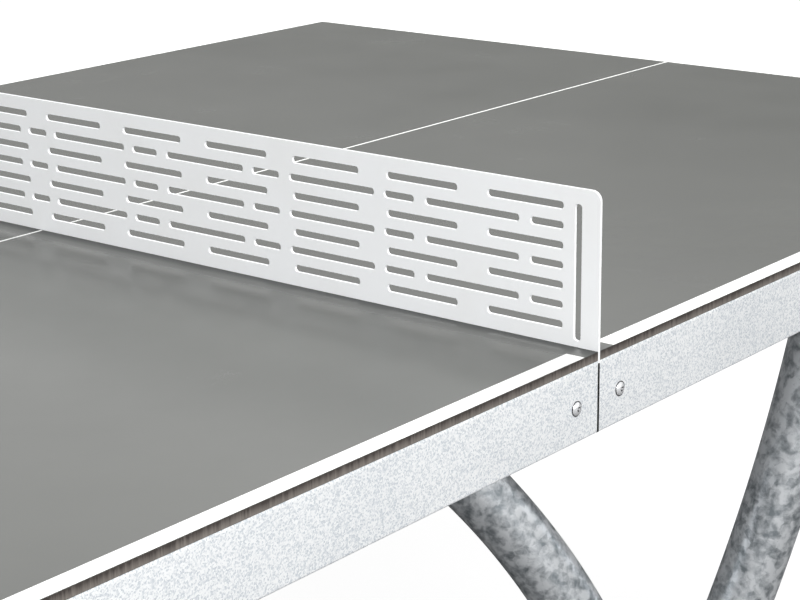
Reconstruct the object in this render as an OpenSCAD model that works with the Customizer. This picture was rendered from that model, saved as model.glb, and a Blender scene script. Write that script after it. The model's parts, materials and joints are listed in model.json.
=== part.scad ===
// Outdoor ping pong table: two laminate half tops on a bent-sheet steel frame, a slotted steel
// net plate between the halves, and four legs of curved steel tube.
// +X runs along the table, +Y across it, +Z up. The origin is on the ground under the net.

/* [Table] */
// Length of the playing surface
table_length = 2740; // [2640:10:2840]
// Width of the playing surface
table_width = 1525; // [1475:5:1575]
// Height of the playing surface above the ground
table_height = 760; // [740:5:780]

/* [Top panels] */
// Thickness of each laminate half top
panel_t = 9; // [7:0.5:10]
// Gap between the two halves, where the net plate passes
centre_gap = 3.5; // [3.5:0.5:6]
// Radius of the tops' outer corners
panel_corner_r = 4; // [1:1:20]

/* [Frame] */
// Height of the rails around the frame
rail_h = 72; // [64:1:80]
// Width of the rails' flanges
rail_flange = 40; // [34:1:50]
// Width of the centre rails' flanges
centre_flange = 60; // [56:1:80]
// Thickness of the bent steel sheet
sheet_t = 2.5; // [2:0.5:3]
// Outside radius of the bends
bend_r = 3; // [3:0.5:6]
// Depth of the cross-members, the stiffeners and the centre rails
member_h = 60; // [50:1:62]
// Width of a cross-member's web
cross_w = 120; // [112:2:140]
// Width of a stiffener's web
stiffener_w = 50; // [40:2:70]
// Width of the lips that carry the tops
lip_w = 20; // [16:1:26]
// Leg of a corner gusset
gusset_leg = 110; // [80:5:140]

/* [Net] */
// Height of the net above the playing surface
net_h = 152.5; // [150:0.5:155]
// Thickness of the net plate
net_t = 3; // [2:0.5:3]
// Radius of the net's top corners
net_corner_r = 10; // [8:1:25]
// Height of each slot
slot_h = 7.75; // [7.25:0.25:8.5]
// Corner radius of a slot
slot_r = 3.5; // [1:0.1:3.6]
// Distance from one row of slots to the next
row_pitch = 19.2; // [18:0.05:20]
// Length of the medium slots
medium_slot = 88; // [70:1:96]
// Distance from one medium slot to the next
medium_pitch = 123.6; // [120:0.1:124]
// Length of the long slots
long_slot = 113; // [100:1:115]
// Length of the short slots
short_slot = 38; // [30:1:40]
// Gap between the short and the long slot of a pair
pair_gap = 12.4; // [10:0.2:13]
// Gap between one pair of slots and the next
pair_space = 13.6; // [12:0.2:15]
// Distance from the net's end to the first slot of a row
slot_margin = 40.5; // [36:0.5:50]
// Distance from the net's end to the upright slot
upright_margin = 24; // [20:0.5:28]
// Width of the upright slot
upright_w = 8; // [7.5:0.5:9]

/* [Legs] */
// Outside diameter of the leg tubes
tube_d = 80; // [70:1:84]
// Wall thickness of the leg tubes
tube_wall = 3; // [2:0.5:5]
// Distance of an arch tube's foot from the centre line, both along and across
foot_reach = 505; // [480:1:520]
// Radius of an arch tube's centre line
arch_r = 935; // [920:1:950]
// Depth of that radius' centre below the ground
arch_drop = 206; // [195:1:215]
// Distance along the table between the feet of an arch tube and a strut
foot_gap = 82; // [82:1:90]
// Radius of an outer strut's centre line
strut_r = 2758; // [2400:10:3200]
// Lean of an outer strut from the vertical at its foot
strut_lean = 23.1; // [20:0.1:25]
// Distance kept clear around the centre by the arch tubes' upper ends
hub_clear = 45; // [45:1:55]

/* [Plates and fasteners] */
// Thickness of the foot plates
foot_t = 10; // [8:1:14]
// Length of a foot plate
foot_l = 260; // [250:5:300]
// Width of a foot plate
foot_w = 180; // [170:5:200]
// Diameter of the ground anchor holes
anchor_hole_d = 14; // [10:1:16]
// Distance between anchor holes along the table
anchor_x = 210; // [204:2:220]
// Distance between anchor holes across the table
anchor_y = 130; // [124:2:140]
// Thickness of the plates on top of the tubes
pad_t = 8; // [6:1:10]
// Distance of the security screws from the joint
security_x = 36.5; // [25:0.5:50]
// Distance of the security screws below the playing surface
security_drop = 46.5; // [40:0.5:52]
// Head diameter of the security screws
security_head_d = 14; // [12:0.5:18]

/* [Hidden] */
$fn = 64;
fit = 0.5;                                   // radial room in the bolt holes
half_l = table_length / 2;
half_w = table_width / 2;
top_z = table_height - panel_t;              // underside of the tops
rail_z = top_z - rail_h;                     // underside of the rails
member_z = top_z - member_h;                 // underside of members, centre rails
pad_z = member_z - pad_t;                    // underside of the plates on the tubes
rail_end_x = centre_gap / 2;                 // where each half's frame begins
inner_w = half_w - sheet_t;                  // inside of the side rails' webs
long_len = half_l - rail_end_x;

arch_foot_s = foot_reach * sqrt(2);
arch_s = arch_foot_s - sqrt(arch_r * arch_r - arch_drop * arch_drop);
strut_foot = [foot_reach + foot_gap, -foot_reach];
strut_s = -strut_r * cos(strut_lean);
strut_centre_z = strut_r * sin(strut_lean);
strut_run = strut_s + sqrt(pow(strut_r, 2) - pow(pad_z - strut_centre_z, 2));
strut_top = strut_foot + strut_run / sqrt(2) * [1, -1];
cross_x = strut_top[0];
foot_centre = [foot_reach + foot_gap / 2, -foot_reach];
pad_l = 150;                                 // strut pad, across the table
pad_bolts = [88, 120];
hub_l = 440;                                 // hub plate, across the table
hub_w = 340;
hub_bolt_x = 38;
hub_bolt_y = [140, 190];
stiffener_x = [390, 1060];
strip_h = rail_h - 4;                        // rubber strip in the rails' joint
strip_raise = 1;
pair_pitch = short_slot + pair_gap + long_slot + pair_space;
centre_slot = 2 * (half_w - slot_margin - 4 * pair_pitch + pair_space - pair_gap);
upright_foot = 5.8;                          // left under the upright slot
net_foot_z = top_z - 2.5;
net_tab_z = top_z - 51;
net_tab_half = half_w - 28;
clamp_y = [-600, -250, 250, 600];
clamp_z = top_z - 31;
splice_l = 130;
splice_h = 56;
splice_t = 4;
splice_z = top_z - 7.5 - splice_h;
security_z = table_height - security_drop;
m8 = 8;
m10 = 10;
m12 = 12;
panel_hole_d = 5;
panel_screw_d = 4.8;
panel_screw_up = 6;                          // how far a screw reaches into the laminate

// Fixing points of the tops on the positive half, as [x, y] on both sides of the centre line
rail_screw_y = half_w - 22;
edge_screws = [for (x = [90, 240, 560, 900, 1230]) for (s = [-1, 1]) [x, s * rail_screw_y]];
end_screws = [for (y = [-600, -200, 200, 600]) [half_l - 22, y]];
centre_screws = [for (y = [-500, -120, 120, 500]) [rail_end_x + centre_flange - 16, y]];
panel_screw_points = concat(edge_screws, end_screws, centre_screws);

galvanised = [0.78, 0.80, 0.82];
tube_grey = [0.60, 0.63, 0.65];
top_grey = [0.50, 0.51, 0.49];
net_white = [0.95, 0.95, 0.95];
zinc = [0.74, 0.75, 0.76];
rubber_black = [0.06, 0.06, 0.06];

// ---- placing ----

// The near right quarter is drawn, and the others mirror it
module quarter(x_side, y_side) {
    mirror([x_side < 0 ? 1 : 0, 0, 0])
        mirror([0, y_side > 0 ? 1 : 0, 0])
            children();
}

module half(x_side) {
    mirror([x_side < 0 ? 1 : 0, 0, 0]) children();
}

// Turns a section drawn in Y and Z into a bar along +X
module along_x(length) {
    rotate([90, 0, 90]) linear_extrude(height = length) children();
}

// Turns a section drawn in X and Z into a bar along Y, centred
module along_y(length) {
    rotate([90, 0, 0]) linear_extrude(height = length, center = true) children();
}

// A bar across the frame that reaches into the side rails, notched around their upper flanges
module notched_member(reach) {
    difference() {
        along_y(2 * reach) children();
        for (y = [-half_w, half_w - rail_flange])
            translate([-cross_w, y, member_h - sheet_t])
                cube([2 * cross_w, rail_flange, sheet_t + 1]);
    }
}

// ---- sections ----

module rounded_2d(w, h, r) {
    translate([r, 0]) square([w - 2 * r, h]);
    translate([0, r]) square([w, h - 2 * r]);
    for (x = [r, w - r]) for (y = [r, h - r]) translate([x, y]) circle(r);
}

// A slot as one outline, with its corners as short arcs
function slot_outline(l, h, r) = [
    for (c = [[l - r, h - r, 0], [r, h - r, 90], [r, r, 180], [l - r, r, 270]])
        for (a = [0 : 22.5 : 90]) [c[0] + r * cos(c[2] + a), c[1] + r * sin(c[2] + a)]
];

// A bent channel, open towards +x, with its web at x = 0
module channel_2d(w, h) {
    intersection() {
        square([w, h]);
        difference() {
            rounded_2d(2 * w, h, bend_r);
            translate([sheet_t, sheet_t])
                rounded_2d(2 * w, h - 2 * sheet_t, bend_r - sheet_t);
        }
    }
}

// A bent hat, open upwards, with a lip on each side at the top, centred on x = 0
module hat_2d(w, h) {
    intersection() {
        translate([-w / 2, 0]) square([w, h]);
        difference() {
            translate([-w / 2, 0]) rounded_2d(w, 2 * h, bend_r);
            translate([-w / 2 + sheet_t, sheet_t])
                rounded_2d(w - 2 * sheet_t, 2 * h, bend_r - sheet_t);
        }
    }
    for (x = [-w / 2 - lip_w, w / 2 - sheet_t / 2])
        translate([x, h - sheet_t]) square([lip_w + sheet_t / 2, sheet_t]);
}

// ---- holes and fasteners ----

module panel_fixing_holes(bottom, top) {
    for (p = panel_screw_points)
        translate([p[0], p[1], bottom]) cylinder(d = panel_hole_d, h = top - bottom);
}

module hex_bolt(d, grip, reach) {
    translate([0, 0, -0.65 * d]) cylinder(d = 1.75 * d, h = 0.65 * d, $fn = 6);
    cylinder(d = d, h = grip + reach);
}

module nut(d) {
    difference() {
        cylinder(d = 1.75 * d, h = 0.8 * d, $fn = 6);
        translate([0, 0, -1]) cylinder(d = d, h = 0.8 * d + 2);
    }
}

module washer(d) {
    difference() {
        cylinder(d = 2.2 * d, h = 1.6);
        translate([0, 0, -1]) cylinder(d = d + 2 * fit, h = 4);
    }
}

// ---- top ----

module top_panel(x_side) {
    color(top_grey) half(x_side) difference() {
        translate([rail_end_x, -half_w, top_z]) union() {
            cube([long_len - panel_corner_r, table_width, panel_t]);
            translate([0, panel_corner_r, 0])
                cube([long_len, table_width - 2 * panel_corner_r, panel_t]);
            for (y = [panel_corner_r, table_width - panel_corner_r])
                translate([long_len - panel_corner_r, y, 0])
                    cylinder(r = panel_corner_r, h = panel_t);
        }
        panel_fixing_holes(top_z - 1, top_z + panel_screw_up + 0.5);
    }
}

// ---- frame ----

module side_rail(x_side, y_side) {
    color(galvanised) quarter(x_side, y_side) difference() {
        translate([rail_end_x, -half_w, rail_z]) along_x(long_len) channel_2d(rail_flange, rail_h);
        side_rail_corner();
        panel_fixing_holes(top_z - sheet_t - 1, top_z + 1);
        translate([security_x, -half_w - 1, security_z])
            rotate([-90, 0, 0]) cylinder(d = m8 + 2 * fit, h = sheet_t + 2);
    }
}

// The wedge beyond the mitre, on the side rail
module side_rail_corner() {
    translate([half_l, -half_w, rail_z - 1]) linear_extrude(height = rail_h + 2)
        polygon([[0, 0], [1, -1], [1, 2 * rail_flange], [-2 * rail_flange, 2 * rail_flange]]);
}

// The wedges beyond the mitres, on an end rail
module end_rail_corners() {
    for (s = [-1, 1])
        translate([half_l, s * half_w, rail_z - 1]) linear_extrude(height = rail_h + 2)
            polygon([[1, s], [1, 0], [0, 0],
                     [-2 * rail_flange, -2 * s * rail_flange], [-2 * rail_flange, s]]);
}

module end_rail(x_side) {
    color(galvanised) half(x_side) difference() {
        translate([half_l, 0, rail_z]) mirror([1, 0, 0])
            along_y(table_width) channel_2d(rail_flange, rail_h);
        end_rail_corners();
        panel_fixing_holes(top_z - sheet_t - 1, top_z + 1);
    }
}

module centre_rail(x_side) {
    color(galvanised) half(x_side) difference() {
        translate([rail_end_x, 0, member_z])
            notched_member(inner_w - splice_t) channel_2d(centre_flange, member_h);
        panel_fixing_holes(top_z - sheet_t - 1, top_z + 1);
        for (y = clamp_y) translate([rail_end_x - 1, y, clamp_z])
            rotate([0, 90, 0]) cylinder(d = m8 + 2 * fit, h = sheet_t + 2);
        for (y = hub_bolt_y) for (s = [-1, 1]) translate([hub_bolt_x, s * y, member_z - 1])
            cylinder(d = m12 + 2 * fit, h = sheet_t + 2);
    }
}

module cross_member(x_side) {
    color(galvanised) half(x_side) difference() {
        translate([cross_x, 0, member_z]) notched_member(inner_w) hat_2d(cross_w, member_h);
        for (s = [-1, 1]) translate([cross_x, s * strut_top[1], 0]) pad_bolt_points()
            translate([0, 0, member_z - 1]) cylinder(d = m10 + 2 * fit, h = sheet_t + 2);
    }
}

module stiffener(x_side, x) {
    color(galvanised) half(x_side) translate([x, 0, member_z])
        notched_member(inner_w) hat_2d(stiffener_w, member_h);
}

module corner_gussets() {
    inset = sheet_t + 0.2;
    color(galvanised) for (x_side = [-1, 1]) for (y_side = [-1, 1]) quarter(x_side, y_side)
        translate([half_l - inset, -half_w + inset, top_z - 2 * sheet_t - 0.5])
            linear_extrude(height = sheet_t)
                polygon([[0, 0], [0, gusset_leg], [-gusset_leg, 0]]);
}

// ---- net ----

// The slots of one half of the net, with x measured from the net's end inwards
module net_slots_2d() {
    for (row = [0 : 6]) {
        z = table_height + net_h / 2 + (3 - row) * row_pitch - slot_h / 2;
        if (row % 2 == 0)
            for (i = [0 : 5]) translate([slot_margin + i * medium_pitch, z])
                polygon(slot_outline(medium_slot, slot_h, slot_r));
        else
            for (i = [0 : 3]) {
                translate([slot_margin + i * pair_pitch, z])
                    polygon(slot_outline(short_slot, slot_h, slot_r));
                translate([slot_margin + i * pair_pitch + short_slot + pair_gap, z])
                    polygon(slot_outline(long_slot, slot_h, slot_r));
            }
    }
    upright_z = table_height + net_h / 2 + 3 * row_pitch + slot_h / 2;
    translate([upright_margin - upright_w / 2, upright_z])
        rotate(-90) polygon(slot_outline(upright_z - table_height - upright_foot, upright_w, slot_r));
}

module net_2d() {
    full_h = table_height + net_h - net_foot_z;
    difference() {
        union() {
            translate([-half_w, net_foot_z]) square([table_width, full_h - net_corner_r]);
            translate([-half_w + net_corner_r, net_foot_z])
                square([table_width - 2 * net_corner_r, full_h]);
            for (s = [-1, 1])
                translate([s * (half_w - net_corner_r), table_height + net_h - net_corner_r])
                    circle(net_corner_r);
            translate([-net_tab_half, net_tab_z]) square([2 * net_tab_half, 60]);
        }
        for (s = [0, 1]) mirror([s, 0]) translate([-half_w, 0]) net_slots_2d();
        for (row = [1 : 2 : 5])
            translate([-centre_slot / 2, table_height + net_h / 2 + (3 - row) * row_pitch - slot_h / 2])
                polygon(slot_outline(centre_slot, slot_h, slot_r));
        for (y = clamp_y) translate([y, clamp_z]) circle(d = m8 + 2 * fit);
    }
}

module net_plate() {
    color(net_white) translate([-net_t / 2, 0, 0]) along_x(net_t) net_2d();
}

module net_clamp_bolts() {
    color(zinc) for (y = clamp_y)
        translate([-rail_end_x - sheet_t, y, clamp_z])
            rotate([0, 90, 0]) hex_bolt(m8, centre_gap + 2 * sheet_t, 12);
}

module net_clamp_washers() {
    color(zinc) for (y = clamp_y) translate([rail_end_x + sheet_t, y, clamp_z])
        rotate([0, 90, 0]) washer(m8);
}

module net_clamp_nuts() {
    color(zinc) for (y = clamp_y) translate([rail_end_x + sheet_t + 1.6, y, clamp_z])
        rotate([0, 90, 0]) nut(m8);
}

// ---- joint of the two halves ----

module joint_strip(y_side) {
    color(rubber_black) quarter(1, y_side)
        translate([-rail_end_x + 0.05, -half_w + 0.2, rail_z + strip_raise])
            cube([centre_gap - 0.1, sheet_t - 0.2, strip_h]);
}

module splice_plate(y_side) {
    color(zinc) quarter(1, y_side) difference() {
        translate([-splice_l / 2, -inner_w, splice_z]) cube([splice_l, splice_t, splice_h]);
        for (s = [-1, 1]) translate([s * security_x, -inner_w - 1, security_z])
            rotate([-90, 0, 0]) cylinder(d = m8 + 2 * fit, h = splice_t + 2);
    }
}

// A button head with a ring-shaped recess around a pin
module security_screw() {
    head_h = 3.6;
    recess_d = 6;
    difference() {
        union() {
            cylinder(d = m8, h = sheet_t + splice_t + 9);
            rotate_extrude() intersection() {
                translate([0, -head_h]) square([security_head_d / 2, head_h]);
                translate([0, security_head_d * 0.62 - head_h]) circle(security_head_d * 0.62);
            }
        }
        translate([0, 0, -head_h - 1]) difference() {
            cylinder(d = recess_d, h = 3.4, $fn = 6);
            cylinder(d = 2, h = 3.4);
        }
    }
}

module security_screws() {
    color(zinc) for (x_side = [-1, 1]) for (y_side = [-1, 1]) quarter(x_side, y_side)
        translate([security_x, -half_w, security_z]) rotate([-90, 0, 0]) security_screw();
}

module splice_nuts() {
    color(zinc) for (x_side = [-1, 1]) for (y_side = [-1, 1]) quarter(x_side, y_side)
        translate([security_x, -inner_w + splice_t, security_z]) rotate([-90, 0, 0]) nut(m8);
}

// ---- legs ----

module ring_2d() {
    difference() {
        circle(d = tube_d);
        circle(d = tube_d - 2 * tube_wall);
    }
}

// A tube bent to a radius in the XZ plane, from one angle above the X axis to another
module bent_tube(r, from, to) {
    rotate([90, 0, 0]) rotate([0, 0, from])
        rotate_extrude(angle = to - from, $fn = 720) translate([r, 0]) ring_2d($fn = 64);
}

// Takes away what is below the foot plate's top or above the underside of the upper plate
module trim_tube() {
    difference() {
        children();
        translate([-3000, -3000, foot_t - 500]) cube([6000, 6000, 500]);
        translate([-3000, -3000, pad_z]) cube([6000, 6000, 500]);
    }
}

module arch_tube(x_side, y_side) {
    color(tube_grey) quarter(x_side, y_side) rotate([0, 0, -45]) difference() {
        trim_tube() translate([arch_s, 0, -arch_drop]) bent_tube(arch_r, 11, 77);
        translate([-1000, -500, 0]) cube([1000 + hub_clear, 1000, table_height]);
    }
}

module outer_strut(x_side, y_side) {
    color(tube_grey) quarter(x_side, y_side) trim_tube()
        translate([strut_foot[0], strut_foot[1], 0]) rotate([0, 0, -45])
            translate([strut_s, 0, strut_centre_z])
                bent_tube(strut_r, -strut_lean - 1.2, -strut_lean + 16.5);
}

module plate_with_corners(l, w, t, r) {
    translate([-l / 2, -w / 2, 0]) linear_extrude(height = t) rounded_2d(l, w, r);
}

module foot_plate(x_side, y_side) {
    color(tube_grey) quarter(x_side, y_side)
        translate([foot_centre[0], foot_centre[1], 0]) difference() {
            plate_with_corners(foot_l, foot_w, foot_t, 12);
            for (x = [-1, 1]) for (y = [-1, 1])
                translate([x * anchor_x / 2, y * anchor_y / 2, -1])
                    cylinder(d = anchor_hole_d, h = foot_t + 2);
        }
}

module pad_bolt_points() {
    for (x = [-1, 1]) for (y = [-1, 1])
        translate([x * pad_bolts[0] / 2, y * pad_bolts[1] / 2, 0]) children();
}

module strut_pad(x_side, y_side) {
    color(tube_grey) quarter(x_side, y_side)
        translate([strut_top[0], strut_top[1], pad_z]) difference() {
            plate_with_corners(cross_w - 4, pad_l, pad_t, 8);
            pad_bolt_points() translate([0, 0, -1]) cylinder(d = m10 + 2 * fit, h = pad_t + 2);
        }
}

module at_strut_tops() {
    for (x_side = [-1, 1]) for (y_side = [-1, 1]) quarter(x_side, y_side)
        translate([strut_top[0], strut_top[1], 0]) pad_bolt_points() children();
}

module strut_bolts() {
    color(zinc) at_strut_tops() translate([0, 0, pad_z]) hex_bolt(m10, pad_t + sheet_t, 11);
}

module strut_nuts() {
    color(zinc) at_strut_tops() translate([0, 0, member_z + sheet_t]) nut(m10);
}

module at_hub_bolts() {
    for (x = [-1, 1]) for (y = hub_bolt_y) for (s = [-1, 1])
        translate([x * hub_bolt_x, s * y, 0]) children();
}

module hub_plate() {
    color(tube_grey) difference() {
        translate([0, 0, pad_z]) plate_with_corners(hub_w, hub_l, pad_t, 20);
        at_hub_bolts() translate([0, 0, pad_z - 1]) cylinder(d = m12 + 2 * fit, h = pad_t + 2);
    }
}

module hub_bolts() {
    color(zinc) at_hub_bolts() translate([0, 0, pad_z]) hex_bolt(m12, pad_t + sheet_t, 13);
}

module hub_nuts() {
    color(zinc) at_hub_bolts() translate([0, 0, member_z + sheet_t]) nut(m12);
}

// ---- fixings of the tops ----

module panel_screws() {
    color(zinc) for (x_side = [-1, 1]) half(x_side) for (p = panel_screw_points)
        translate([p[0], p[1], top_z - sheet_t - 3]) {
            cylinder(d = 11, h = 3);
            cylinder(d = panel_screw_d, h = 3 + sheet_t + panel_screw_up);
        }
}

top_panel(-1);  // top_panel_left
top_panel(1);  // top_panel_right
side_rail(-1, -1);  // side_rail_near_left
side_rail(1, -1);  // side_rail_near_right
side_rail(-1, 1);  // side_rail_far_left
side_rail(1, 1);  // side_rail_far_right
end_rail(-1);  // end_rail_left
end_rail(1);  // end_rail_right
centre_rail(-1);  // centre_rail_left
centre_rail(1);  // centre_rail_right
cross_member(-1);  // cross_member_left
cross_member(1);  // cross_member_right
stiffener(-1, stiffener_x[0]);  // inner_stiffener_left
stiffener(1, stiffener_x[0]);  // inner_stiffener_right
stiffener(-1, stiffener_x[1]);  // outer_stiffener_left
stiffener(1, stiffener_x[1]);  // outer_stiffener_right
corner_gussets();
net_plate();
net_clamp_bolts();
net_clamp_washers();
net_clamp_nuts();
joint_strip(-1);  // joint_strip_near
joint_strip(1);  // joint_strip_far
splice_plate(-1);  // splice_plate_near
splice_plate(1);  // splice_plate_far
security_screws();
splice_nuts();
hub_plate();
hub_bolts();
hub_nuts();
arch_tube(-1, -1);  // arch_tube_near_left
arch_tube(1, -1);  // arch_tube_near_right
arch_tube(-1, 1);  // arch_tube_far_left
arch_tube(1, 1);  // arch_tube_far_right
outer_strut(-1, -1);  // outer_strut_near_left
outer_strut(1, -1);  // outer_strut_near_right
outer_strut(-1, 1);  // outer_strut_far_left
outer_strut(1, 1);  // outer_strut_far_right
strut_pad(-1, -1);  // strut_pad_near_left
strut_pad(1, -1);  // strut_pad_near_right
strut_pad(-1, 1);  // strut_pad_far_left
strut_pad(1, 1);  // strut_pad_far_right
strut_bolts();
strut_nuts();
foot_plate(-1, -1);  // foot_plate_near_left
foot_plate(1, -1);  // foot_plate_near_right
foot_plate(-1, 1);  // foot_plate_far_left
foot_plate(1, 1);  // foot_plate_far_right
panel_screws();
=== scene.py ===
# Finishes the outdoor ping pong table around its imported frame: rolled and bent steel, welds,
# laminate tops, painted markings, fasteners, their materials, the light and the camera.
import json
import math

import bmesh
import bpy
import numpy as np
from mathutils import Matrix, Vector


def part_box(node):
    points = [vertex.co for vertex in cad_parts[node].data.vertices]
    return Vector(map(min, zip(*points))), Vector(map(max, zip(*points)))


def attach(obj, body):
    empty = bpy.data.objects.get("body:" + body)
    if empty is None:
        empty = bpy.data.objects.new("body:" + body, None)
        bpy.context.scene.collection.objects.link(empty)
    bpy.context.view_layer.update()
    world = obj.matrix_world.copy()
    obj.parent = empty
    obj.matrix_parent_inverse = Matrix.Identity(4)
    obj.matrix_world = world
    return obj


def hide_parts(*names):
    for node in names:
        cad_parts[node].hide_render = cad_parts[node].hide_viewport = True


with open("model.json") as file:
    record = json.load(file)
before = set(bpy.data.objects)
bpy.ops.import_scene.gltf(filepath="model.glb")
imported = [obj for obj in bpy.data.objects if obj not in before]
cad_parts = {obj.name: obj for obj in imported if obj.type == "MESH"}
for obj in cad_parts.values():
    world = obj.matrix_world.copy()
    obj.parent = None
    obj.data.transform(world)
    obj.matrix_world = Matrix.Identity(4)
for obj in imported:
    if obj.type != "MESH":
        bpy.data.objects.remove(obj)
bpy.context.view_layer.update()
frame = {"nodes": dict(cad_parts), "record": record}
mm = 0.001
print("frame loaded:", len(frame["nodes"]), "nodes")


# camera

viewPoint = {
    "place": (-1.5555, -1.7821, 1.3590),
    "turn": -51.055,      # degrees about the vertical
    "tilt": 73.535,       # degrees up from looking straight down
    "roll": -0.689,       # degrees about the line of sight
    "lens": 94.04,        # millimetres, for a sensor 36 mm wide
}


def makeCamera():
    # the camera is turned about the vertical, then tilted, then rolled about its own axis
    data = bpy.data.cameras.new("camera")
    data.lens = viewPoint["lens"]
    camera = bpy.data.objects.new("camera", data)
    turn = Matrix.Rotation(math.radians(viewPoint["turn"]), 4, "Z")
    tilt = Matrix.Rotation(math.radians(viewPoint["tilt"]), 4, "X")
    roll = Matrix.Rotation(math.radians(viewPoint["roll"]), 4, "Z")
    camera.matrix_world = Matrix.Translation(viewPoint["place"]) @ turn @ tilt @ roll
    bpy.context.collection.objects.link(camera)
    bpy.context.scene.camera = camera


makeCamera()
print("camera set")


# shader expressions

class Wire:
    # a socket that can be used in an expression, each operator adding a Math node
    def __init__(self, bench, socket):
        self.bench = bench
        self.socket = socket

    def join(self, operation, first, second):
        # a Math node on two values, each of them a wire or a number
        settings = {"operation": operation}
        return self.bench.node("ShaderNodeMath", settings, {0: first, 1: second})

    def __add__(self, other):
        return self.join("ADD", self, other)

    def __sub__(self, other):
        return self.join("SUBTRACT", self, other)

    def __rsub__(self, other):
        return self.join("SUBTRACT", other, self)

    def __mul__(self, other):
        return self.join("MULTIPLY", self, other)

    def __truediv__(self, other):
        return self.join("DIVIDE", self, other)

    def above(self, other):
        # one where this is the greater, and nought elsewhere
        return self.join("GREATER_THAN", self, other)

    __radd__ = __add__
    __rmul__ = __mul__


class Bench:
    # the node tree of a material or of the world, and the main shader that a material's tree has
    def __init__(self, owner, constants):
        owner.use_nodes = True
        self.owner = owner
        self.tree = owner.node_tree
        self.shader = self.tree.nodes.get("Principled BSDF")
        for socket, value in constants.items():
            self.shader.inputs[socket].default_value = value

    def node(self, kind, settings=None, values=None, out=0):
        # any node: its settings are set first, then each socket gets its value or its link
        made = self.tree.nodes.new(kind)
        for name, value in (settings or {}).items():
            if name == "stops":
                self.setStops(made, value)
            else:
                setattr(made, name, value)
        for socket, value in (values or {}).items():
            if isinstance(value, Wire):
                self.tree.links.new(value.socket, made.inputs[socket])
            else:
                made.inputs[socket].default_value = value
        return Wire(self, made.outputs[out])

    def setStops(self, made, stops):
        # each stop is a place on the ramp and the grey that the ramp has there
        ramp = made.color_ramp.elements
        while len(ramp) < len(stops):
            ramp.new(1.0)
        for element, (place, grey) in zip(ramp, stops):
            element.position = place
            element.color = (grey, grey, grey, 1.0)

    def place(self, stretch=(1, 1, 1)):
        # Object coordinates in metres, each axis times its stretch
        where = self.node("ShaderNodeTexCoord", out="Object")
        return self.node("ShaderNodeMapping", None, {"Vector": where, "Scale": stretch})

    def noise(self, scale, detail=3.0, rough=0.5, warp=0.0, at=None):
        # cloudy noise, with its scale in clouds to the metre
        return self.node("ShaderNodeTexNoise", None,
                         {"Vector": at or self.place(), "Scale": scale, "Detail": detail,
                          "Roughness": rough, "Distortion": warp}, "Fac")

    def cells(self, scale):
        # a random colour for each cell, with the scale in cells to the metre
        return self.node("ShaderNodeTexVoronoi", None, {"Vector": self.place(), "Scale": scale},
                         "Color")

    def ramp(self, value, stops):
        # grey that goes straight from stop to stop
        return self.node("ShaderNodeValToRGB", {"stops": stops}, {"Fac": value})

    def mix(self, share, first, second):
        # the first colour where the share is nought, and the second where it is one
        settings = {"data_type": "RGBA", "clamp_factor": True}
        return self.node("ShaderNodeMix", settings, {0: share, 6: first, 7: second}, 2)

    def part(self, vector, axis):
        # one number of a vector or a colour
        return self.node("ShaderNodeSeparateXYZ", None, {0: vector}, axis)

    def bump(self, height, strength, distance, after=None):
        # the normal of a raised pattern, on top of the bump that comes before it
        values = {"Height": height, "Strength": strength, "Distance": distance}
        if after:
            values["Normal"] = after
        return self.node("ShaderNodeBump", None, values)

    def feed(self, **links):
        # links to the main shader's sockets, with underscores for the spaces in their names
        for name, wire in links.items():
            socket = self.shader.inputs[name.replace("_", " ")]
            self.tree.links.new(wire.socket, socket)
        return self.owner


# materials: every scale is in clouds or cells to the metre

laminate = {
    "topZ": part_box("top_panel_left")[1].z,
    "bottomZ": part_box("top_panel_left")[0].z,
    "skin": 0.45 * mm,                # decor paper and overlay on both faces
    "grey": (0.088, 0.091, 0.084, 1),
    "paleGrey": (0.102, 0.105, 0.097, 1),
    "coreDark": (0.040, 0.033, 0.030, 1),
    "corePale": (0.235, 0.212, 0.190, 1),
    "cloudScale": 2.6, "fineScale": 900,
    # the dark colour painted on the top along the net, as the net's shadow
    "paintedShade": (0.028, 0.031, 0.032, 1),
    "shadeFade": 900,                  # one over the square of the distance the painted shade reaches
    "shadeStops": [(0, 1), (0.09, 0.8), (0.35, 0.3), (1, 0)],
    "sawScale": 360, "sawStretch": (1, 1, 0.04), "sawDepth": 0.3 * mm,
    "layerScale": 60, "layerStretch": (0.02, 0.02, 30),
    "rubScale": 7, "peelScale": 1400, "peelDepth": 0.2 * mm,
    "roughness": 0.20, "coreRoughness": 0.35, "netBandRoughness": 0.3,
}


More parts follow.
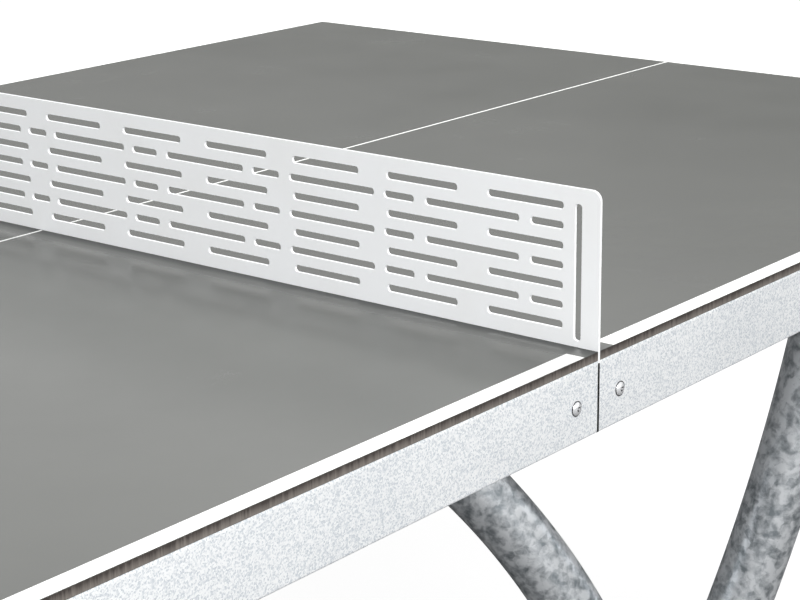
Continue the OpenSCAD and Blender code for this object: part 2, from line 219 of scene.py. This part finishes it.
def makeLaminate():
    # grey skin on both faces, and a brown paper core on the cut edge, with upright saw marks and paler
    # towards its foot, a painted reflection; painted shade along the net, for the net's shadow, fades
    # with the square of the distance from it
    bench = Bench(bpy.data.materials.new("laminate"), {"IOR": 1.5, "Specular IOR Level": 0.4})
    height = bench.part(bench.place(), "Z")
    inCore = (height.above(laminate["bottomZ"] + laminate["skin"])
              * (1 - height.above(laminate["topZ"] - laminate["skin"])))
    clouds = bench.noise(laminate["cloudScale"], 5, 0.6)
    fine = bench.noise(laminate["fineScale"], 2, 0.6)
    grey = bench.mix(bench.ramp(clouds * 0.75 + fine * 0.25, [(0.35, 0), (0.68, 1)]),
                     laminate["grey"], laminate["paleGrey"])
    fromNet = bench.part(bench.place(), "X")
    # painted shade: the top is darker in a band along the net, where the net's shadow falls, and
    # rougher there too
    netShade = bench.ramp(fromNet * fromNet * laminate["shadeFade"], laminate["shadeStops"])
    grey = bench.mix(netShade * 0.75, grey, laminate["paintedShade"])
    saw = bench.noise(laminate["sawScale"], 3, 0.7, 0, bench.place(laminate["sawStretch"]))
    sawMarks = bench.ramp(saw, [(0.36, 0), (0.64, 1)])
    layers = bench.noise(laminate["layerScale"], 2, 0.5, 0, bench.place(laminate["layerStretch"]))
    # painted reflection: the core's tone rises towards the foot of the cut edge
    lift = (height - laminate["bottomZ"]) / (laminate["topZ"] - laminate["bottomZ"])
    tone = sawMarks * 0.42 + layers * 0.12 + (1 - lift) * 0.95 - 0.40
    core = bench.mix(tone, laminate["coreDark"], laminate["corePale"])
    rubs = bench.noise(laminate["rubScale"], 3, 0.5)
    roughness = (laminate["roughness"] + rubs * 0.08 + fine * 0.03
                 + inCore * laminate["coreRoughness"] + netShade * laminate["netBandRoughness"])
    peel = bench.noise(laminate["peelScale"], 2, 0.5)
    sawn = bench.bump(sawMarks * inCore, 0.6, laminate["sawDepth"])
    return bench.feed(Base_Color=bench.mix(inCore, grey, core), Roughness=roughness,
                      Normal=bench.bump(peel, 0.05, laminate["peelDepth"], sawn))


linePaint = {
    "white": (0.86, 0.87, 0.85, 1), "chalky": (0.93, 0.935, 0.92, 1),
    "chalkScale": 120, "peelScale": 1100, "peelDepth": 0.2 * mm, "roughness": 0.38,
}


def makeLinePaint():
    # white paint, paler and rougher in the spots where it has gone chalky, over a fine peel
    bench = Bench(bpy.data.materials.new("linePaint"), {"IOR": 1.5})
    chalk = bench.ramp(bench.noise(linePaint["chalkScale"], 5, 0.65), [(0.3, 0), (0.62, 1)])
    colour = bench.mix(chalk, linePaint["white"], linePaint["chalky"])
    peel = bench.noise(linePaint["peelScale"], 2)
    return bench.feed(Base_Color=colour, Roughness=linePaint["roughness"] + chalk * 0.08,
                      Normal=bench.bump(peel, 0.08, linePaint["peelDepth"]))


powderCoat = {
    "clean": (0.925, 0.94, 0.955, 1), "dusty": (0.895, 0.905, 0.91, 1),
    "dustScale": 9, "peelScale": 520, "peelDepth": 0.25 * mm, "roughness": 0.34,
}


def makePowderCoat():
    # white powder coat: a soft orange peel, and dust gathered in faint clouds
    bench = Bench(bpy.data.materials.new("powderCoat"), {"IOR": 1.5, "Coat Roughness": 0.18})
    dust = bench.ramp(bench.noise(powderCoat["dustScale"], 5, 0.6, 0.4), [(0.42, 0), (0.75, 1)])
    colour = bench.mix(dust, powderCoat["clean"], powderCoat["dusty"])
    peel = bench.noise(powderCoat["peelScale"], 2, 0.45)
    roughness = powderCoat["roughness"] + dust * 0.1 + peel * 0.06
    return bench.feed(Base_Color=colour, Roughness=roughness,
                      Normal=bench.bump(peel, 0.10, powderCoat["peelDepth"]))


zincSheet = {
    "dull": (0.56, 0.60, 0.64, 1), "bright": (0.97, 0.985, 0.99, 1),
    "crystalScale": 640, "grainScale": 740, "cloudScale": 5, "speckDepth": 0.12 * mm,
    "metallic": 0.16, "roughness": 0.36,
}


def makeZincSheet():
    # zinc-coated sheet: bright specks, from each crystal's own tone and a fine grain, and faint
    # clouds; a bright speck is also more metallic and raised, and each crystal has its own gloss
    bench = Bench(bpy.data.materials.new("zincSheet"), {"IOR": 1.5})
    crystal = bench.part(bench.cells(zincSheet["crystalScale"]), "X")
    grain = bench.noise(zincSheet["grainScale"], 3, 0.75)
    clouds = bench.noise(zincSheet["cloudScale"], 4, 0.6, 0.5)
    specks = bench.ramp(crystal * 0.35 + grain * 0.65, [(0.36, 0), (0.56, 1)])
    colour = bench.mix(specks * 0.9 + clouds * 0.3 - 0.12, zincSheet["dull"], zincSheet["bright"])
    roughness = zincSheet["roughness"] + crystal * 0.14 + clouds * 0.06
    return bench.feed(Base_Color=colour, Metallic=zincSheet["metallic"] + specks * 0.16,
                      Roughness=roughness,
                      Normal=bench.bump(specks, 0.35, zincSheet["speckDepth"]))


zincTube = {
    "dull": (0.36, 0.40, 0.43, 1), "bright": (0.93, 0.96, 0.99, 1),
    "patchScale": 75, "broadScale": 14, "fineScale": 260, "crystalScale": 85,
    "patchDepth": 1.2 * mm, "metallic": 0.95, "roughness": 0.40,
}


def makeZincTube():
    # hot-dip zinc: soft feathery patches where the coat froze early or late, bright and dull;
    # the tone is a weighted sum of four patterns, and the dull zinc is the more metallic
    bench = Bench(bpy.data.materials.new("zincTube"), {"IOR": 1.5})
    patches = bench.noise(zincTube["patchScale"], 3, 0.5, 0.3)
    broad = bench.noise(zincTube["broadScale"], 3, 0.5)
    fine = bench.noise(zincTube["fineScale"], 4, 0.65)
    crystal = bench.part(bench.cells(zincTube["crystalScale"]), "X")
    tone = bench.ramp(patches * 0.62 + broad * 0.14 + fine * 0.16 + crystal * 0.08,
                      [(0.37, 0), (0.57, 1)])
    colour = bench.mix(tone, zincTube["dull"], zincTube["bright"])
    roughness = zincTube["roughness"] - tone * 0.08 + fine * 0.06
    relief = bench.bump(patches * 0.6 + fine * 0.4, 0.5, zincTube["patchDepth"])
    return bench.feed(Base_Color=colour, Metallic=zincTube["metallic"] - tone * 0.25,
                      Roughness=roughness, Normal=relief)


brightZinc = {
    "clean": (0.90, 0.91, 0.92, 1), "spotted": (0.72, 0.73, 0.75, 1),
    "spotScale": 260, "spotDepth": 0.1 * mm, "metallic": 0.6, "roughness": 0.22,
}


def makeBrightZinc():
    # plated fasteners, darker and rougher in the spots where the plating has gone dull
    bench = Bench(bpy.data.materials.new("brightZinc"),
                  {"IOR": 1.5, "Metallic": brightZinc["metallic"]})
    spots = bench.ramp(bench.noise(brightZinc["spotScale"], 4, 0.7), [(0.4, 0), (0.7, 1)])
    colour = bench.mix(spots, brightZinc["clean"], brightZinc["spotted"])
    return bench.feed(Base_Color=colour, Roughness=brightZinc["roughness"] + spots * 0.2,
                      Normal=bench.bump(spots, 0.1, brightZinc["spotDepth"]))


rubber = {
    "clean": (0.004, 0.004, 0.005, 1), "dusty": (0.012, 0.012, 0.013, 1),
    "dustScale": 240, "dustDepth": 0.2 * mm, "roughness": 0.62,
}


def makeRubber():
    # black rubber, a little paler and rougher where dust lies on it
    bench = Bench(bpy.data.materials.new("rubber"), {"IOR": 1.45, "Specular IOR Level": 0.12})
    dust = bench.noise(rubber["dustScale"], 4, 0.6)
    colour = bench.mix(dust, rubber["clean"], rubber["dusty"])
    return bench.feed(Base_Color=colour, Roughness=rubber["roughness"] + dust * 0.2,
                      Normal=bench.bump(dust, 0.2, rubber["dustDepth"]))


finishes = {
    "grey_laminate": makeLaminate(),
    "linePaint": makeLinePaint(),
    "white_powder_coat": makePowderCoat(),
    "galvanised_sheet": makeZincSheet(),
    "galvanised_tube": makeZincTube(),
    "zinc_hardware": makeBrightZinc(),
    "black_rubber": makeRubber(),
}
slotOfNode = {row["node"]: row["material_slot"] for row in frame["record"]["subparts"]}
for nodeName, nodeObject in frame["nodes"].items():
    nodeObject.data.materials.clear()
    nodeObject.data.materials.append(finishes[slotOfNode[nodeName]])
print("materials made:", len(finishes))


# surfaces

seams = {"merge": 0.002 * mm, "sweptAngle": 35.0}     # an edge over the angle stays sharp


def shade(mesh, finish, sharpAngle):
    # points closer than the merge distance made one, faces turned outwards, and all of it smooth
    # but for the edges at which two faces meet at more than the angle
    work = bmesh.new()
    work.from_mesh(mesh)
    bmesh.ops.remove_doubles(work, verts=work.verts, dist=seams["merge"])
    bmesh.ops.recalc_face_normals(work, faces=work.faces)
    work.to_mesh(mesh)
    work.free()
    mesh.polygons.foreach_set("use_smooth", np.full(len(mesh.polygons), True))
    mesh.set_sharp_from_angle(angle=math.radians(sharpAngle))
    mesh.materials.clear()
    mesh.materials.append(finish)


def placePiece(name, mesh, replaced=None):
    # an object at the origin, on the table's one body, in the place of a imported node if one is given
    piece = bpy.data.objects.new(name, mesh)
    bpy.context.collection.objects.link(piece)
    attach(piece, "root")
    if replaced:
        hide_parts(replaced)
    return piece


def sweep(name, rings, slot, closed=False, finish=None, replaced=None):
    # point k of each ring is joined to point k of the next, so that four neighbours on the grid
    # make a face; a closed sweep joins its last ring to its first, an open one ends in flat caps
    rows, columns = rings.shape[:2]
    lastRow = rows if closed else rows - 1
    i, j = np.meshgrid(np.arange(lastRow), np.arange(columns), indexing="ij")
    nextI, nextJ = (i + 1) % rows, (j + 1) % columns
    quads = np.stack([i * columns + j, i * columns + nextJ,
                      nextI * columns + nextJ, nextI * columns + j], -1)
    faces = quads.reshape(-1, 4).tolist()
    if not closed:
        faces += [list(range(columns)), list(range(lastRow * columns, rows * columns))]
    mesh = bpy.data.meshes.new(name)
    mesh.from_pydata(rings.reshape(-1, 3).tolist(), [], faces)
    shade(mesh, finishes[finish or slot], seams["sweptAngle"])
    return placePiece(name, mesh, replaced)


def mirrored(points, xSide, ySide):
    # x and y each times one or minus one
    return points * np.array([xSide, ySide, 1.0])


quarters = {"near_left": (-1, -1), "near_right": (1, -1), "far_left": (-1, 1), "far_right": (1, 1)}
panelLow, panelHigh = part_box("top_panel_right")
railLow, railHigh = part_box("side_rail_near_right")
halfLength, halfWidth = panelHigh.x, panelHigh.y
print("table:", round(2 * halfLength, 3), "x", round(2 * halfWidth, 3), "m")


# tops and markings

topShape = {
    "cornerRadius": 4 * mm, "cornerSteps": 8, "edgeRound": 0.3 * mm, "edgeSteps": 3,
    "netArris": 3.5,             # the arris along the net, as a multiple of the others
    "flatMargin": 1.5 * mm,
}


def topOutline(inset):
    # plan of the right half top, pulled in by an inset: square at the net, and at the end each
    # corner is a quarter circle, its centre plus the radius times the cosine and the sine
    turns = np.radians(np.linspace(0, 90, topShape["cornerSteps"] + 1))
    radius = topShape["cornerRadius"]
    endX, sideY = halfLength - radius, halfWidth - radius
    upper = np.c_[endX + (radius - inset) * np.cos(turns), sideY + (radius - inset) * np.sin(turns)]
    lower = np.c_[upper[::-1, 0], -upper[::-1, 1]]
    net = panelLow.x + inset * topShape["netArris"]
    return np.r_[[[net, -halfWidth + inset]], lower, upper, [[net, halfWidth - inset]]]


def makeTop(side):
    # the outline is repeated at each height of a section whose lower and upper arris are quarter
    # circles, and once more a little way in, so that both flat faces are shaded level
    bend = np.radians(np.linspace(0, 90, topShape["edgeSteps"] + 1))
    arris = topShape["edgeRound"]
    margin = topShape["flatMargin"]
    insets = np.r_[margin, arris * (1 - np.sin(bend)), arris * (1 - np.cos(bend)), margin]
    heights = np.r_[panelLow.z, panelLow.z + arris * (1 - np.cos(bend)),
                    panelHigh.z - arris * (1 - np.sin(bend)), panelHigh.z]
    rings = np.stack([np.c_[topOutline(inset), np.full(len(topOutline(0)), z)]
                      for inset, z in zip(insets, heights)])
    name = "top_panel_right" if side > 0 else "top_panel_left"
    sweep(name + "_finished", mirrored(rings, side, 1), "grey_laminate", replaced=name)


lines = {
    "edgeWidth": 20 * mm, "centreWidth": 3 * mm, "thickness": 0.12 * mm, "edgeGap": 0.12 * mm,
    "netGap": 24.5 * mm, "centreNetGap": 4 * mm, "arris": 0.08 * mm,
    "sink": 0.02 * mm,           # how far the paint's underside lies within the top
}


def lineSection(width):
    # a flat band with its upper corners taken off, as distance across and height
    rise, arris, foot = lines["thickness"], lines["arris"], -lines["sink"]
    return np.array([[0, foot], [0, rise - arris], [arris, rise],
                     [width - arris, rise], [width, rise - arris], [width, foot]])


def makeMarkings(side):
    # the section goes round the half top's three outer edges: each of its points lies in from the
    # edge by its distance across, at a corner along the mitre; the centre line is a straight one
    gap = lines["edgeGap"]
    section = lineSection(lines["edgeWidth"])
    starts = np.array([[lines["netGap"], -halfWidth + gap], [halfLength - gap, -halfWidth + gap],
                       [halfLength - gap, halfWidth - gap], [lines["netGap"], halfWidth - gap]])
    inward = np.array([[0, 1], [-1, 1], [-1, -1], [0, -1]])
    plan = starts[:, None, :] + section[None, :, :1] * inward[:, None, :]
    heights = np.broadcast_to(panelHigh.z + section[:, 1], plan.shape[:2])
    rings = np.concatenate([plan, heights[..., None]], -1)
    name = "edge_lines_" + ("right" if side > 0 else "left")
    sweep(name, mirrored(rings, side, 1), "white_powder_coat", finish="linePaint")

    section = lineSection(lines["centreWidth"])
    ends = np.array([lines["centreNetGap"], halfLength - gap - lines["edgeWidth"]])
    x = np.broadcast_to(ends[:, None], (2, len(section)))
    y = np.broadcast_to(section[:, 0] - lines["centreWidth"] / 2, x.shape)
    z = np.broadcast_to(panelHigh.z + section[:, 1], x.shape)
    name = "centre_line_" + ("right" if side > 0 else "left")
    rings = mirrored(np.stack([x, y, z], -1), side, 1)
    sweep(name, rings, "white_powder_coat", finish="linePaint")


for tableSide in (-1, 1):
    makeTop(tableSide)
    makeMarkings(tableSide)
print("tops and markings made")


# rails

rail = {"flange": 40 * mm, "sheet": 2.5 * mm, "bend": 3 * mm, "bendSteps": 8}


def channelSection(width, height):
    # a bent channel, open on one side: round the outside of both bends, then back inside, each
    # bend a quarter circle about one centre, with the bend's radius outside and less a sheet inside
    sheet, bend = rail["sheet"], rail["bend"]
    turn = np.radians(np.linspace(90, 180, rail["bendSteps"] + 1))
    arc = np.c_[np.cos(turn), np.sin(turn)]
    upperOut = np.array([bend, height - bend]) + bend * arc
    upperIn = np.array([bend, height - bend]) + (bend - sheet) * arc
    flipDown = np.array([1, -1])
    lowerOut = np.array([0, height]) + upperOut[::-1] * flipDown
    lowerIn = np.array([0, height]) + upperIn[::-1] * flipDown
    return np.r_[[[width, height]], upperOut, lowerOut, [[width, 0]], [[width, sheet]],
                 lowerIn[::-1], upperIn[::-1], [[width, height - sheet]]]


def makeSideRail(quarter, xSide, ySide):
    # the section stands square at the joint and mitred at the corner, and the rail is the
    # straight surface from one to the other
    section = channelSection(rail["flange"], railHigh.z - railLow.z)
    depth, height = section[:, 0], section[:, 1]
    start = np.c_[np.full(len(section), railLow.x), -halfWidth + depth, railLow.z + height]
    end = np.c_[halfLength - depth, -halfWidth + depth, railLow.z + height]
    rings = mirrored(np.stack([start, end]), xSide, -ySide)
    name = f"side_rail_{quarter}"
    sweep(name + "_finished", rings, "galvanised_sheet", replaced=name)


def makeEndRail(side):
    # the section stands mitred at both corners, with the straight surface between them
    section = channelSection(rail["flange"], railHigh.z - railLow.z)
    depth, height = section[:, 0], section[:, 1]
    near = np.c_[halfLength - depth, -halfWidth + depth, railLow.z + height]
    rings = mirrored(np.stack([near, mirrored(near, 1, -1)]), side, 1)
    name = "end_rail_right" if side > 0 else "end_rail_left"
    sweep(name + "_finished", rings, "galvanised_sheet", replaced=name)


for quarterName, (sideX, sideY) in quarters.items():
    makeSideRail(quarterName, sideX, sideY)
for tableSide in (-1, 1):
    makeEndRail(tableSide)
print("rails made")


# legs: every tube is bent in the upright plane that runs diagonally outwards

legs = {
    "tubeRadius": 40 * mm, "wall": 3 * mm, "around": 64, "along": 64,
    "footReach": 505 * mm,       # of the arch's foot, along X and along Y
    "archRadius": 935 * mm, "archDrop": 206 * mm,         # the bend's centre is under the floor
    "footGap": 82 * mm, "strutRadius": 2758 * mm,
    "strutLean": 23.1,           # of the strut from upright at the floor, in degrees
    "hubClear": 45 * mm,         # between the arch and the table's middle
}
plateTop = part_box("foot_plate_near_left")[1].z
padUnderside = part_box("hub_plate")[0].z
archOut = (legs["footReach"] * math.sqrt(2)
           - math.sqrt(legs["archRadius"] ** 2 - legs["archDrop"] ** 2))
arch = {"radius": legs["archRadius"], "out": archOut, "up": -legs["archDrop"],
        "origin": (0, 0)}
strutLean = math.radians(legs["strutLean"])
strut = {"radius": legs["strutRadius"], "out": -legs["strutRadius"] * math.cos(strutLean),
         "up": legs["strutRadius"] * math.sin(strutLean),
         "origin": (legs["footReach"] + legs["footGap"], -legs["footReach"])}


def bendAngles(bend, reach):
    # where a line of the tube, at a reach from the bend's axis, meets the lower plate and then
    # the upper plate, at the arcsine of its height over the reach, or the clearance at the hub
    low = np.arcsin((plateTop - bend["up"]) / reach)
    high = np.arcsin((padUnderside - bend["up"]) / reach)
    return low, np.minimum(high, np.arccos((legs["hubClear"] - bend["out"]) / reach))


def onBend(bend, reach, angle, aside):
    # out along the diagonal by the cosine, up by the sine, and aside across the diagonal
    out = bend["out"] + reach * np.cos(angle)
    up = bend["up"] + reach * np.sin(angle)
    x = bend["origin"][0] + (out + aside) / math.sqrt(2)
    y = bend["origin"][1] + (aside - out) / math.sqrt(2)
    return np.stack([x, y, up], -1)


def makeLegTube(name, bend, xSide, ySide):
    # a grid of lines along the tube and circles round it, up the outside and back down the bore
    turn = np.linspace(0, 2 * np.pi, legs["around"], endpoint=False)[None, :]
    share = np.linspace(0, 1, legs["along"] + 1)[:, None]
    walls = []
    for radius, way in ((legs["tubeRadius"], share), (legs["tubeRadius"] - legs["wall"], 1 - share)):
        reach = bend["radius"] + radius * np.cos(turn)
        low, high = bendAngles(bend, reach)
        aside = np.broadcast_to(radius * np.sin(turn), (len(way), turn.shape[1]))
        walls.append(onBend(bend, reach, low + (high - low) * way, aside))
    rings = mirrored(np.concatenate(walls), xSide, -ySide)
    sweep(name + "_finished", rings, "galvanised_tube", closed=True, replaced=name)


welds = {
    "radius": 3.2 * mm, "ripple": 0.45 * mm, "pitch": 3.6 * mm, "around": 8,
    "samples": 4,                # rings to a ripple
    "tracePoints": 2001,         # on the curve from which the rings' places are measured
    "endTaper": 0.4,             # the size of an open bead's two end rings
}


def makeWeld(name, bend, plateZ, xSide, ySide):
    # a round bead along the curve in which the tube's outside meets a flat plate: rings at even
    # steps along the curve, upright and across it, with a radius that ripples as a cosine
    radius = legs["tubeRadius"]
    turn = np.linspace(-np.pi, np.pi, welds["tracePoints"])
    reach = bend["radius"] + radius * np.cos(turn)
    angle = np.arcsin((plateZ - bend["up"]) / reach)
    middle = onBend(bend, reach, angle, radius * np.sin(turn))
    out = bend["out"] + reach * np.cos(angle)
    kept = out >= legs["hubClear"] if bend is arch else np.full(len(turn), True)
    closed = bool(kept.all())
    middle = middle[kept]
    steps = np.r_[0, np.cumsum(np.linalg.norm(np.diff(middle, axis=0), axis=1))]
    count = round(steps[-1] / welds["pitch"]) * welds["samples"]
    along = np.linspace(0, steps[-1], count + 1)
    middle = np.stack([np.interp(along, steps, middle[:, k]) for k in range(3)], -1)
    if closed:
        middle = middle[:-1]
        tangent = np.roll(middle, -1, axis=0) - np.roll(middle, 1, axis=0)
    else:
        tangent = np.gradient(middle, axis=0)
    tangent /= np.linalg.norm(tangent, axis=1)[:, None]
    across = np.cross(tangent, (0, 0, 1.0))
    phase = 2 * np.pi * np.arange(len(middle)) / welds["samples"]
    size = welds["radius"] + welds["ripple"] * np.cos(phase)
    if not closed:
        size[[0, -1]] *= welds["endTaper"]
    ring = np.linspace(0, 2 * np.pi, welds["around"], endpoint=False)
    rings = (middle[:, None, :]
             + (size[:, None] * np.cos(ring))[..., None] * across[:, None, :]
             + (size[:, None] * np.sin(ring))[..., None] * np.array([0, 0, 1.0]))
    sweep(name, mirrored(rings, xSide, -ySide), "galvanised_tube", closed=closed)


for quarterName, (sideX, sideY) in quarters.items():
    makeLegTube(f"arch_tube_{quarterName}", arch, sideX, sideY)
    makeLegTube(f"outer_strut_{quarterName}", strut, sideX, sideY)
    makeWeld(f"arch_foot_weld_{quarterName}", arch, plateTop, sideX, sideY)
    makeWeld(f"arch_hub_weld_{quarterName}", arch, padUnderside, sideX, sideY)
    makeWeld(f"strut_foot_weld_{quarterName}", strut, plateTop, sideX, sideY)
    makeWeld(f"strut_pad_weld_{quarterName}", strut, padUnderside, sideX, sideY)
print("legs and welds made")


# plates, members and fasteners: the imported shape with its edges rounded

edges = {
    "sharpAngle": 30.0,          # an edge over this angle is rounded
    "flatAngle": 1.0,            # neighbours within this angle are made one flat face
    "segments": 2,
    "faceWeight": 100,           # how much a large face counts over a small one, in the shading
}
roundings = {                    # radius in millimetres, for the nodes whose names start so
    "net_plate": 0.45, "security_screws": 0.35,
    "hub_plate": 0.8, "strut_pad": 0.8, "foot_plate": 1.0, "splice_plate": 0.4,
    "centre_rail": 0.8, "cross_member": 0.8, "inner_stiffener": 0.8, "outer_stiffener": 0.8,
    "corner_gussets": 0.4, "hub_bolts": 0.4, "hub_nuts": 0.4, "strut_bolts": 0.4,
    "strut_nuts": 0.4, "net_clamp_bolts": 0.35, "net_clamp_nuts": 0.35,
}


def roundEdges(node, radius):
    # a merged copy of the node: its flat faces are each made one, every edge over the angle is
    # rounded with its own arc, and the normals lean towards the large faces, which stay level
    mesh = frame["nodes"][node].data.copy()
    shade(mesh, finishes[slotOfNode[node]], edges["sharpAngle"])
    piece = placePiece(node + "_finished", mesh, node)
    flat = piece.modifiers.new("flat", "DECIMATE")
    flat.decimate_type = "DISSOLVE"
    flat.angle_limit = math.radians(edges["flatAngle"])
    bevel = piece.modifiers.new("edges", "BEVEL")
    bevel.width = radius * mm
    bevel.segments = edges["segments"]
    bevel.limit_method = "ANGLE"
    bevel.angle_limit = math.radians(edges["sharpAngle"])
    facing = piece.modifiers.new("facing", "WEIGHTED_NORMAL")
    facing.keep_sharp = True
    facing.weight = edges["faceWeight"]


for nodeName in frame["nodes"]:
    for start, radius in roundings.items():
        if nodeName.startswith(start):
            roundEdges(nodeName, radius)
print("edges rounded")


# painted shade that outlines the security screws: a thin black ring round each head, for the shadow at
# its rim, and a black disc in its recess, for the shade in there

paintedShade = {
    "across": 36.5 * mm, "drop": 46.5 * mm,               # from the table's middle and its top
    "ringRadius": 7.1 * mm, "ringWidth": 0.45 * mm, "ringDepth": 0.3 * mm, "ringSteps": 8,
    "discRadius": 2.6 * mm, "discDepths": (1.25 * mm, 1.9 * mm), "around": 32,
}


def screwCircle(radius, depth):
    # a circle about a screw, the cosine along the rail and the sine up, in an upright plane that
    # is a depth outside the side rail
    turn = np.linspace(0, 2 * np.pi, paintedShade["around"], endpoint=False)
    return np.stack([paintedShade["across"] + radius * np.cos(turn),
                     np.full(len(turn), -halfWidth - depth),
                     panelHigh.z - paintedShade["drop"] + radius * np.sin(turn)], -1)


def makeScrewShade(quarter, xSide, ySide):
    # the ring's radius grows by the cosine and its depth by the sine of an angle that goes once
    # round its width, and the disc is a short plug between two depths; both are black, painted shade
    turn = np.linspace(0, 2 * np.pi, paintedShade["ringSteps"], endpoint=False)
    ring = np.stack([screwCircle(paintedShade["ringRadius"] + paintedShade["ringWidth"] * math.cos(angle),
                                 paintedShade["ringDepth"] + paintedShade["ringWidth"] * math.sin(angle))
                     for angle in turn])
    sweep(f"screw_ring_{quarter}", mirrored(ring, xSide, -ySide), "black_rubber", closed=True)
    disc = np.stack([screwCircle(paintedShade["discRadius"], depth) for depth in paintedShade["discDepths"]])
    sweep(f"screw_disc_{quarter}", mirrored(disc, xSide, -ySide), "black_rubber")


for quarterName, (sideX, sideY) in quarters.items():
    makeScrewShade(quarterName, sideX, sideY)
# the screws' painted shade
print("screw dirt made")


# studio

studio = {
    "floorSize": 30.0, "floorGlow": 0.90, "floorScale": 1.2,
    "floorColour": (0.18, 0.18, 0.18, 1), "floorShade": (0.16, 0.16, 0.16, 1),
    "domeSeen": 1.0, "domePower": 1.5,
    "domeLean": 1.9,      # how far the light leans to +Y, in the dome's quarter from +X to +Y
    # how bright the dome is for each sine of the height above the horizon
    "domeStops": [(0.0, 0.06), (0.16, 0.08), (0.21, 0.11), (0.25, 0.17), (0.285, 0.90),
                  (0.37, 0.94), (0.6, 0.50), (1.0, 0.35)],
    # each lamp's place, aim and size in metres, and its power in watts
    "key": {"place": (-2.7, -5.0, 3.3), "aim": (0, 0, 0.6), "size": 3.0, "power": 335},
    "back": {"place": (2.2, 0.9, 3.7), "aim": (0, 0, 0.76), "size": 1.2, "power": 95},
}


def makeFloor():
    # a flat square that glows for the camera, so that it stays pale, and is dull for the light
    size = studio["floorSize"]
    corners = np.array([[-1, -1, 0], [1, -1, 0], [1, 1, 0], [-1, 1, 0]]) * size
    mesh = bpy.data.meshes.new("floor")
    mesh.from_pydata(corners.tolist(), [], [(0, 1, 2, 3)])
    bench = Bench(bpy.data.materials.new("floorPaint"),
                  {"Roughness": 0.9, "Specular IOR Level": 0.1,
                   "Emission Strength": studio["floorGlow"]})
    seen = bench.node("ShaderNodeLightPath", out="Is Camera Ray")
    glow = bench.mix(seen, (0, 0, 0, 1), (1, 1, 1, 1))
    shades = bench.mix(bench.noise(studio["floorScale"]), studio["floorColour"],
                       studio["floorShade"])
    mesh.materials.append(bench.feed(Base_Color=shades, Emission_Color=glow))
    floor = bpy.data.objects.new("floor", mesh)
    bpy.context.collection.objects.link(floor)


def makeWorld():
    # white for the camera, and for the light a dome graded by its height above the horizon; in
    # the quarter between +X and +Y it leans towards +Y, by x times y times (y less x)
    bench = Bench(bpy.data.worlds.new("dome"), {})
    heading = bench.node("ShaderNodeTexCoord", out="Generated")
    east, north = bench.part(heading, "X"), bench.part(heading, "Y")
    quarter = east * north * east.above(0) * north.above(0)
    lean = 1 + (north - east) * quarter * studio["domeLean"]
    graded = bench.ramp(bench.part(heading, "Z"), studio["domeStops"]) * lean
    felt = bench.node("ShaderNodeBackground", None, {"Color": graded,
                                                     "Strength": studio["domePower"]})
    seen = bench.node("ShaderNodeBackground", None, {"Color": (1, 1, 1, 1),
                                                     "Strength": studio["domeSeen"]})
    cameraRay = bench.node("ShaderNodeLightPath", out="Is Camera Ray")
    mixed = bench.node("ShaderNodeMixShader", None, {0: cameraRay, 1: felt, 2: seen})
    output = bench.tree.nodes["World Output"]
    bench.tree.links.new(mixed.socket, output.inputs["Surface"])
    bpy.context.scene.world = bench.owner


def makeLight(name):
    # a round lamp at its place, turned to face its aim
    lamp = studio[name]
    data = bpy.data.lights.new(name, "AREA")
    data.shape = "DISK"
    data.size = lamp["size"]
    data.energy = lamp["power"]
    light = bpy.data.objects.new(name, data)
    light.location = lamp["place"]
    toTarget = Vector(lamp["aim"]) - Vector(lamp["place"])
    light.rotation_euler = toTarget.to_track_quat("-Z", "Y").to_euler()
    bpy.context.collection.objects.link(light)


makeFloor()
makeWorld()
makeLight("key")
makeLight("back")
bpy.context.scene.view_settings.view_transform = "Standard"
print("studio made")
